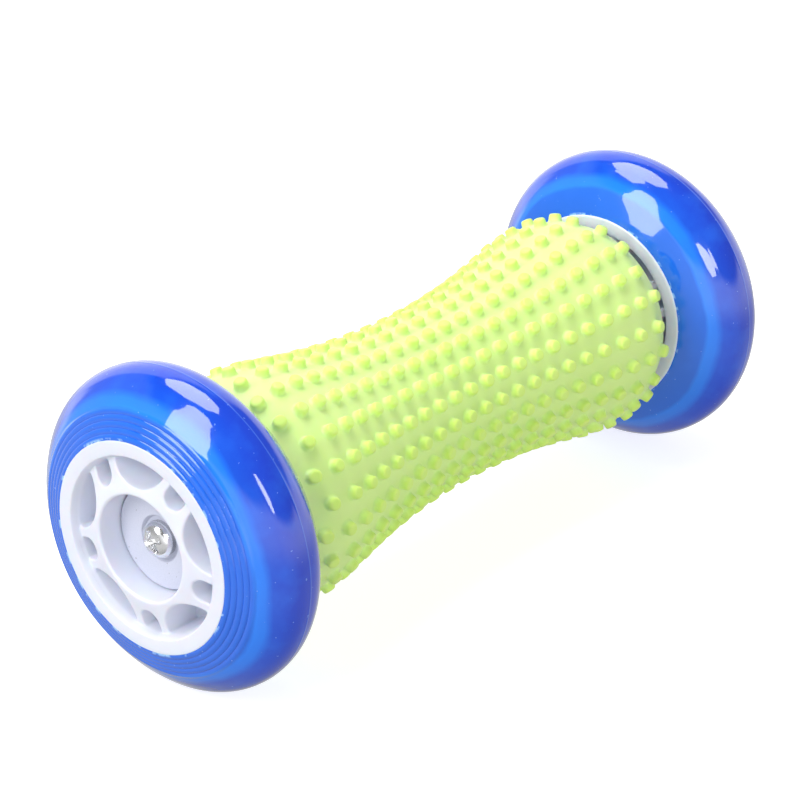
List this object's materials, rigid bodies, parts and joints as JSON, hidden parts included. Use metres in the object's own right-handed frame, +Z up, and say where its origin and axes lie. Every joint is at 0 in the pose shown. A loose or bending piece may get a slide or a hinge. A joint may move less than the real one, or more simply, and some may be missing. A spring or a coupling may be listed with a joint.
{
  "type": "foot massage roller",
  "caption": "Waisted studded foot massage roller with a soft sleeve on a hollow core, between wheels that spin freely on stub axles.",
  "frame": {"origin": "the point on the floor under the middle of the axle, with the roller lying on its tyres", "axes": "+X along the axle towards the right wheel, +Z up, +Y across the roller"},
  "size_m": [0.174, 0.07, 0.07],
  "materials": {
    "sleeve": "soft matte lime green, moulded",
    "core": "plain moulded",
    "cap": "plain moulded",
    "bush": "smooth, low friction",
    "hub": "satin white, moulded",
    "tyre": "glossy translucent blue, moulded",
    "disc": "fine matte grain",
    "screw": "bright zinc plated"
  },
  "bodies": {
    "core": {"massage_sleeve": "sleeve", "core_half_left": "core", "core_half_right": "core", "end_cap_left": "cap", "end_cap_right": "cap", "inner_bush_left": "bush", "inner_bush_right": "bush", "retaining_disc_left": "disc", "retaining_disc_right": "disc", "screw_left": "screw", "screw_right": "screw"},
    "left_wheel": {"wheel_hub_left": "hub", "tyre_left": "tyre"},
    "right_wheel": {"wheel_hub_right": "hub", "tyre_right": "tyre"}
  },
  "joints": [
    {"name": "left_wheel_spin", "type": "hinge", "parent": "core", "child": "left_wheel", "pos_m": [-0.0756, 0, 0.035], "axis": [1, 0, 0], "continuous": true},
    {"name": "right_wheel_spin", "type": "hinge", "parent": "core", "child": "right_wheel", "pos_m": [0.0756, 0, 0.035], "axis": [1, 0, 0], "continuous": true}
  ]
}
